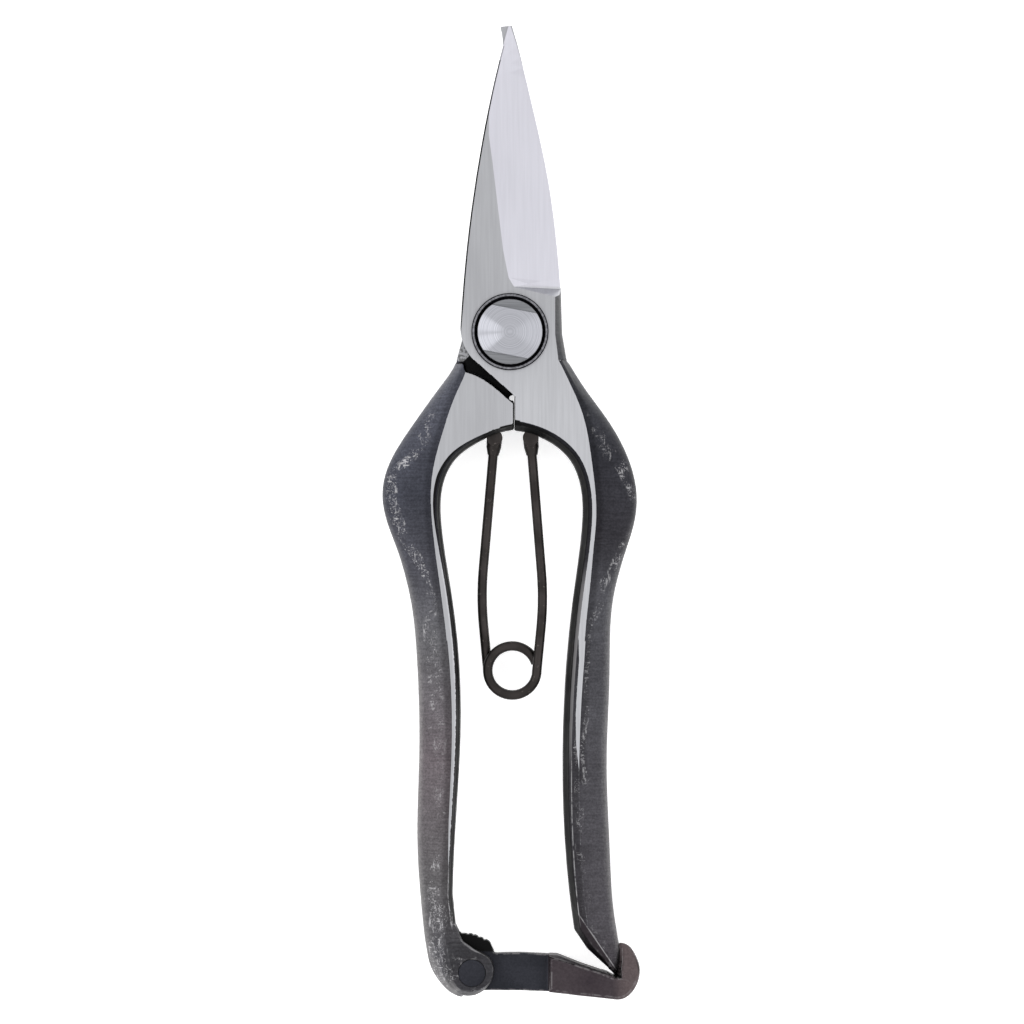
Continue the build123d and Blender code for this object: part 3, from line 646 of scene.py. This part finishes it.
def forge(bm, amplitude, ground):
    """Press hammer marks up to amplitude deep into a bmesh, but make its ground planes flat again."""
    bm.normal_update()
    for v in bm.verts:
        depth = PLATE - abs(v.co.z - LAP)
        if ground and -0.2 * MM < depth < 0.05 * MM and abs(v.normal.z) > 0.97:
            v.co.z = LAP + math.copysign(PLATE, v.co.z - LAP)
            continue
        weight = smoothed(depth, 0.15 * MM, 1.0 * MM) if ground else 1
        weight *= smoothed(abs(v.co.z - LAP), 0.1 * MM, 0.5 * MM)
        v.co -= v.normal * (amplitude * weight * hammered(v.co, MM))


def inside(area, place):
    """Whether a place is in an area, seen from above."""
    low, high = area
    return low[0] < place.x / MM < high[0] and low[1] < place.y / MM < high[1]


def settle(bm, node, area):
    """Put the points in an area back on the part's own surface."""
    part = welded(node)
    surface = BVHTree.FromBMesh(part)
    for v in bm.verts:
        if inside(area, v.co):
            v.co = surface.find_nearest(v.co)[0]
    part.free()


def meet(bm, node, area):
    """Lean a wall in an area over to a neighbouring part, so that their narrow gap is as it was at
    the front and all but shut at the rear. The lean sets in from the area's left and upper side."""
    widest = 0.9 * MM
    left, top = area[0][0], area[1][1]
    part = welded(node)
    surface = BVHTree.FromBMesh(part)
    bm.normal_update()
    for v in bm.verts:
        if inside(area, v.co) and abs(v.normal.z) < 0.8:
            place, _, _, gap = surface.find_nearest(v.co)
            if gap < widest and (place - v.co).dot(v.normal) > 0.7 * gap:
                share = smoothed(v.co.z, LAP + 3.6 * MM, LAP + 1 * MM)
                share *= smoothed(v.co.x / MM, left, left + 0.45)
                share *= smoothed(v.co.y / MM, top, top - 0.5)
                v.co += (place - v.co).normalized() * ((gap - 0.05 * MM) * share)
    part.free()


def grind(bm, ridge, slope):
    """Grind a sloping facet on both faces, to the right of a ridge."""
    start, end = ridge
    along = (end - start).normalized()
    for v in bm.verts:
        off = (v.co.x - start.x) * along.y - (v.co.y - start.y) * along.x
        if off > 0:
            v.co.z = LAP + (v.co.z - LAP) * (1 - slope * off / PLATE)


def on_spine(edge, side):
    """Whether an edge lies along the blade, between its outer face and its spine."""
    if len(edge.link_faces) != 2 or min(v.co.y for v in edge.verts) <= 0.5 * MM:
        return False
    spine, top = sorted(edge.link_faces, key=lambda face: abs(face.normal.z))
    off_lap = abs(sum(v.co.z for v in edge.verts) / 2 - LAP) > 1 * MM
    upright = abs(spine.normal.z) < 0.1 and spine.normal.x * side < -0.5
    return upright and spine.calc_area() > 0.02 * MM ** 2 and abs(top.normal.z) > 0.9 and off_lap


def chamfer_spine(bm, side):
    """Break the edges along the blade, where its face meets its spine."""
    bmesh.ops.dissolve_limit(bm, angle_limit=math.radians(0.2), verts=bm.verts, edges=bm.edges)
    rims = [edge for edge in bm.edges if on_spine(edge, side)]
    bmesh.ops.bevel(bm, geom=rims, offset=0.28 * MM, segments=1, affect="EDGES", clamp_overlap=False)
    bmesh.ops.triangulate(bm, faces=[face for face in bm.faces if len(face.verts) > 4])


def carry(piece, name, values):
    piece.data.attributes.new(name, "FLOAT", "POINT").data.foreach_set("value", values)


def carry_crest(piece, passes):
    """Give each point how sharply the surface bends outwards, evened out over its neighbours."""
    mesh = piece.data
    count = len(mesh.vertices)
    place = np.zeros(count * 3)
    mesh.vertices.foreach_get("co", place)
    place = place.reshape(-1, 3)
    normal = np.array([v.normal for v in mesh.vertices])
    ends = np.zeros(len(mesh.edges) * 2, int)
    mesh.edges.foreach_get("vertices", ends)
    a, b = ends.reshape(-1, 2).T
    run = place[b] - place[a]
    bend = ((normal[b] - normal[a]) * run).sum(1) / np.maximum((run * run).sum(1), 1e-12) * MM
    joined = np.maximum(np.bincount(a, minlength=count) + np.bincount(b, minlength=count), 1)
    crest = (np.bincount(a, bend, count) + np.bincount(b, bend, count)) / joined
    for step in range(passes):
        near = (np.bincount(a, crest[b], count) + np.bincount(b, crest[a], count)) / joined
        crest = (crest + near) / 2
    crest[place[:, 1] > NECK_Y] = 0
    carry(piece, "crest", crest)


def faces_inward(normal, y, side):
    """Whether a surface at y with this normal is an inner wall of a handle or of the arch."""
    in_arch = normal.y < -0.3 and y > ARCH_Y
    return abs(normal.z) < 0.9 and (normal.x * side < -0.2 or in_arch)


def kind_of(face, side):
    """Where on a handle a face of the part belongs."""
    if abs(face.normal.z) > 0.99995:
        return "flat"
    if faces_inward(face.normal, face.calc_center_median().y, side):
        return "inside"
    return "flank"


def points_along(edges):
    """Points every 0.1 mm along some edges, seen from above, ready to be searched."""
    places = []
    for edge in edges:
        a, b = (v.co.to_3d() for v in edge.verts)
        count = max(1, math.ceil((b - a).length / (0.1 * MM)))
        places += [a.lerp(b, i / count) for i in range(count + 1)]
    tree = KDTree(len(places))
    for i, place in enumerate(places):
        tree.insert((place.x, place.y, 0), i)
    tree.balance()
    return tree


def carry_lines(piece, node, side):
    """Give each point of a handle how far it lies, seen from above, from two lines of the part: from
    the ridge over its inner wall and from the crease between its ground flat and its flank."""
    bm = welded(node)
    bm.normal_update()
    surface = BVHTree.FromBMesh(bm)
    lines = {(way, line): [] for way in (-1, 1) for line in ("ridge", "crease")}
    for edge in bm.edges:
        if len(edge.link_faces) != 2:
            continue
        kinds = {kind_of(face, side) for face in edge.link_faces}
        middle = (edge.verts[0].co + edge.verts[1].co) / 2
        way = math.copysign(1, middle.z - LAP)
        upward = max(abs(face.normal.z) for face in edge.link_faces) > 0.85
        if "inside" in kinds and len(kinds) == 2 and upward:
            lines[way, "ridge"].append(edge)
            if middle.y < STRIP_Y:
                lines[way, "crease"].append(edge)
        elif kinds == {"flat", "flank"} and abs(middle.z - LAP) > PLATE - 0.1 * MM:
            lines[way, "crease"].append(edge)
    trees = {key: points_along(edges) for key, edges in lines.items()}
    far = 5 * MM
    values = {"ridge": [], "crease": []}
    for v in piece.data.vertices:
        ridge = crease = far
        if v.co.y < NECK_Y:
            way = math.copysign(1, v.co.z - LAP)
            plan = Vector((v.co.x, v.co.y, 0))
            ridge = trees[way, "ridge"].find(plan)[2]
            crease = trees[way, "crease"].find(plan)[2]
            above = Vector((v.co.x, v.co.y, LAP + way * 2 * PLATE))
            hit, normal = surface.ray_cast(above, Vector((0, 0, -way)))[:2]
            if hit is None or faces_inward(normal, v.co.y, side):
                ridge = -ridge
            elif PLATE - abs(hit.z - LAP) > 0.001 * MM:
                crease = -crease
        values["ridge"].append(ridge)
        values["crease"].append(crease)
    bm.free()
    for name, numbers in values.items():
        carry(piece, name, numbers)


def crisp(piece):
    """Keep the shallow ridges between the blade's ground faces sharp."""
    faces = {}
    for polygon in piece.data.polygons:
        for key in polygon.edge_keys:
            faces.setdefault(key, []).append(polygon.normal)
    for edge in piece.data.edges:
        pair = faces.get(tuple(sorted(edge.vertices)), [])
        on_blade = min(piece.data.vertices[i].co.y for i in edge.vertices) > NECK_Y
        if on_blade and len(pair) == 2 and pair[0].angle(pair[1], 0) > math.radians(2.2):
            if min(abs(normal.z) for normal in pair) > 0.7:
                edge.use_edge_sharp = True


def half(name, node, side, look):
    """One half of the snips: the blade and plate as machined, the handle as forged."""
    blade = welded(node)
    cut_at(blade, NECK_Y, keep_above=True)
    chamfer_spine(blade, side)

    handle = welded(node)
    cut_at(handle, NECK_Y + 1.5 * MM, keep_above=False)
    handle = resurfaced(handle, voxel=0.25 * MM, passes=3)
    forge(handle, 0.16 * MM, ground=True)
    settle(handle, node, SHOULDER_SEAM)
    if look["seam_neighbour"]:
        meet(handle, look["seam_neighbour"], SEAM_WALL)
    if look["tail_ridge"]:
        settle(handle, node, TAIL_TIP)
        grind(handle, look["tail_ridge"], 0.45)
    cut_at(handle, NECK_Y, keep_above=False)

    mesh = bpy.data.meshes.new("handle")
    handle.to_mesh(mesh)
    handle.free()
    blade.from_mesh(mesh)
    piece = as_object(name, blade)
    carry_lines(piece, node, side)
    carry_crest(piece, 2)
    return piece


def latch(name, node):
    bm = resurfaced(welded(node), voxel=0.16 * MM, passes=4)
    forge(bm, 0.10 * MM, ground=False)
    settle(bm, node, HOOK_THROAT)
    meet(bm, "front_half", THROAT_WALL)
    grind(bm, HOOK_RIDGE, 0.7)
    piece = as_object(name, bm)
    carry_crest(piece, 3)
    return piece


def finish_piece(piece, node, body, material):
    bpy.context.view_layer.objects.active = piece
    piece.select_set(True)
    bpy.ops.object.shade_smooth_by_angle(angle=math.radians(28))
    crisp(piece)
    piece.select_set(False)
    piece.data.materials.append(material)
    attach(piece, body)
    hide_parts(node)


# ---- making --------------------------------------------------------------------------------------
make_camera()
make_floor()
make_lights()

# How each handle is finished. Each row of a list starts with a place along Y in millimetres.
# - tones: the scale's colour.
# - wear_path: how far from the crease the rubbed marks run and how far they spread, in centimetres,
#   then how dense they are.
# - strip: how far from the ridge the ground strip begins and ends, in centimetres.
# - rim: how strong the painted highlight over the outer edge is.
front_look = {
    "tones": [
        (-125, 0.044, 0.039, 0.044), (-112, 0.05, 0.047, 0.053), (-75, 0.049, 0.048, 0.054),
        (-52, 0.054, 0.054, 0.061), (-38, 0.029, 0.028, 0.033), (-25, 0.024, 0.024, 0.029),
        (-12, 0.028, 0.029, 0.034), (-6, 0.042, 0.043, 0.049), (8, 0.058, 0.059, 0.064)],
    "wear_path": [
        (-112, 0.16, 0.14, 0.3), (-76, 0.1, 0.05, 0.65), (-66, 0.1, 0.05, 0.4), (-56, 0.12, 0.06, 0.45),
        (-48, 0.26, 0.12, 0.5), (-43, 0.46, 0.12, 0.95), (-37, 0.7, 0.1, 0.75), (-33, 0.74, 0.1, 0.3),
        (-27, 0.62, 0.12, 0.75), (-23, 0.36, 0.26, 0.4), (-18, 0.12, 0.12, 0.5), (-13, 0.15, 0.15, 0)],
    "strip": [
        (-83, 0.14, 0.14, 0), (-82.3, 0.14, 0.142, 0), (-77.4, 0.079, 0.145, 0), (-72, 0.053, 0.146, 0),
        (-62, 0.055, 0.15, 0), (-58, 0.012, 0.14, 0), (-57.5, 0, 0.6, 0), (-50, 0, 0.9, 0)],
    "ragged": 0.2 * MM,
    "ridge_line": -76 * MM,
    "neck_light": 1.22,
    "wall_flecks": 0,
    "rim": 0.3,
    "wear_light": 0.6,
    "seam_neighbour": None,
    "tail_ridge": TAIL_RIDGE,
}
back_look = {
    "tones": [
        (-125, 0.05, 0.049, 0.055), (-116, 0.062, 0.061, 0.067), (-104, 0.094, 0.09, 0.094),
        (-80, 0.1, 0.086, 0.094), (-58, 0.094, 0.093, 0.1), (-45, 0.062, 0.062, 0.074),
        (-30, 0.043, 0.045, 0.057), (-18, 0.056, 0.058, 0.073), (-8, 0.072, 0.075, 0.093)],
    "wear_path": [
        (-120, 0.26, 0.3, 0.95), (-108, 0.24, 0.16, 1), (-99, 0.26, 0.1, 0.65), (-84, 0.24, 0.14, 0.35),
        (-72, 0.28, 0.2, 0.45), (-57, 0.3, 0.2, 0.65), (-51, 0.18, 0.1, 0.5), (-45, 0.28, 0.12, 0.95),
        (-38, 0.54, 0.13, 1), (-32, 0.76, 0.13, 1), (-27, 0.78, 0.13, 1), (-23, 0.42, 0.16, 0.9),
        (-17, 0.3, 0.13, 0.8), (-13, 0.25, 0.12, 0)],
    "strip": [
        (-101, 0, 0, 0), (-99, 0, 0.02, 0), (-92, 0, 0.047, 0), (-80, 0, 0.063, 0), (-58, 0, 0.095, 0),
        (-57.5, 0, 0.6, 0), (-46, 0, 0.9, 0), (-40, 0.015, 0.9, 0), (-33, 0.05, 0.9, 0),
        (-27, 0.065, 0.9, 0), (-22.5, 0.04, 0.9, 0), (-19, 0, 0.9, 0)],
    "ragged": 0.7 * MM,
    "ridge_line": -98 * MM,
    "neck_light": 1.08,
    "wall_flecks": 1,
    "rim": 0.42,
    "wear_light": 0.85,
    "seam_neighbour": "front_half",
    "tail_ridge": None,
}
front_steel = forged_steel("forged_steel_front", 1, front_look)
back_steel = forged_steel("forged_steel_back", -1, back_look)
latch_finish = latch_steel()
materials = {
    "forged_steel": back_steel,
    "bolt_steel": turned_steel(),
    "blackened_steel": blackened_steel(),
    "spring_steel": spring_steel(),
    "latch_steel": latch_finish,
}
for part in frame["record"]["subparts"]:
    node = frame["nodes"][part["node"]]
    node.data.materials.clear()
    node.data.materials.append(materials[part["material_slot"]])

finish_piece(half("front_forging", "front_half", 1, front_look),
             "front_half", "right_half", front_steel)
finish_piece(half("back_forging", "back_half", -1, back_look),
             "back_half", "left_half", back_steel)
finish_piece(latch("latch_forging", "latch"),
             "latch", "latch", latch_finish)
